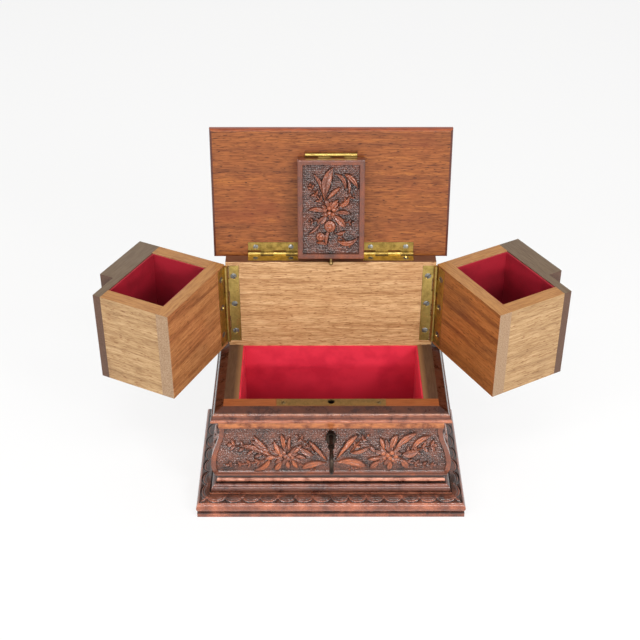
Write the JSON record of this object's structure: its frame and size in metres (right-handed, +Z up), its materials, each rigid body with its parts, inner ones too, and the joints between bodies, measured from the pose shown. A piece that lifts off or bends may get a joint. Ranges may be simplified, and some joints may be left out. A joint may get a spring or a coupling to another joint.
{
  "type": "carved jewelry box",
  "caption": "Carved wooden jewelry box with a hinged lid, swing-out trays, a locking front flap and a lined base.",
  "frame": {"origin": "middle of the plinth's flat underside", "axes": "+X to the right along the longest side, +Y to the back, +Z up; stored open as in the picture"},
  "size_m": [0.3742, 0.1693, 0.2834],
  "materials": {
    "carved_wood": "dark stained and waxed",
    "plain_wood": "waxed",
    "lid_wood": "waxed",
    "brass": "aged",
    "steel": "worn",
    "iron": "dark",
    "satin": "satin"
  },
  "bodies": {
    "base": {"back_panel": "plain_wood", "carcass_front": "plain_wood", "carcass_left": "plain_wood", "carcass_right": "plain_wood", "compartment_floor_lining": "satin", "compartment_wall_linings": "satin", "frieze_front": "carved_wood", "frieze_left": "carved_wood", "frieze_right": "carved_wood", "keyhole_escutcheon": "iron", "left_hinge_panel_leaf": "brass", "left_hinge_pin": "brass", "lid_hinge_panel_leaves": "brass", "lid_hinge_panel_screws": "steel", "lid_hinge_pins": "brass", "lock_case": "iron", "lock_plate": "brass", "lock_plate_screws": "steel", "plinth_board": "carved_wood", "right_hinge_panel_leaf": "brass", "right_hinge_pin": "brass", "side_hinge_panel_screws": "steel", "step_moulding_front": "carved_wood", "step_moulding_left": "carved_wood", "step_moulding_right": "carved_wood", "top_moulding_front": "carved_wood", "top_moulding_left": "carved_wood", "top_moulding_right": "carved_wood"},
    "lid": {"flap_hinge_lid_leaf": "brass", "flap_hinge_lid_screws": "steel", "flap_hinge_pin": "brass", "lid_board": "lid_wood", "lid_hinge_lid_leaves": "brass", "lid_hinge_lid_screws": "steel"},
    "flap": {"catch_pin": "brass", "flap_hinge_flap_leaf": "brass", "flap_hinge_flap_screws": "steel", "flap_panel": "carved_wood"},
    "left_tray": {"left_hinge_tray_leaf": "brass", "left_hinge_tray_screws": "steel", "left_tray_back": "plain_wood", "left_tray_floor": "plain_wood", "left_tray_floor_lining": "satin", "left_tray_front": "plain_wood", "left_tray_inner_end": "plain_wood", "left_tray_outer_end": "plain_wood", "left_tray_wall_linings": "satin"},
    "right_tray": {"right_hinge_tray_leaf": "brass", "right_hinge_tray_screws": "steel", "right_tray_back": "plain_wood", "right_tray_floor": "plain_wood", "right_tray_floor_lining": "satin", "right_tray_front": "plain_wood", "right_tray_inner_end": "plain_wood", "right_tray_outer_end": "plain_wood", "right_tray_wall_linings": "satin"},
    "key": {"key": "iron"},
    "bolt": {"lock_bolt": "brass"}
  },
  "joints": [
    {"name": "lid_hinge", "type": "hinge", "parent": "base", "child": "lid", "pos_m": [0, 0.05635, 0.17995], "axis": [1, 0, 0], "range_deg": [0, 98.5]},
    {"name": "flap_hinge", "type": "hinge", "parent": "lid", "child": "flap", "pos_m": [0, 0.0693, 0.2629], "axis": [1, 0, 0], "range_deg": [-83.9, 0]},
    {"name": "left_tray_swing", "type": "hinge", "parent": "base", "child": "left_tray", "pos_m": [-0.0855, 0.0433, 0.137], "axis": [0, 0, 1], "range_deg": [-20, 116.8]},
    {"name": "right_tray_swing", "type": "hinge", "parent": "base", "child": "right_tray", "pos_m": [0.0855, 0.0433, 0.137], "axis": [0, 0, -1], "range_deg": [-17.2, 119.6]},
    {"name": "key_turn", "type": "hinge", "parent": "base", "child": "key", "pos_m": [0, -0.039, 0.0705], "axis": [0, 1, 0], "range_deg": [0, 45]},
    {"name": "bolt_slide", "type": "slide", "parent": "base", "child": "bolt", "axis": [-1, 0, 0], "range_m": [0, 0.0045]}
  ],
  "couplings": [
    {"joint": "flap_hinge", "follows": "lid_hinge", "ratio": -0.85178},
    {"joint": "bolt_slide", "follows": "key_turn", "m_per_rad": 0.0057296}
  ]
}
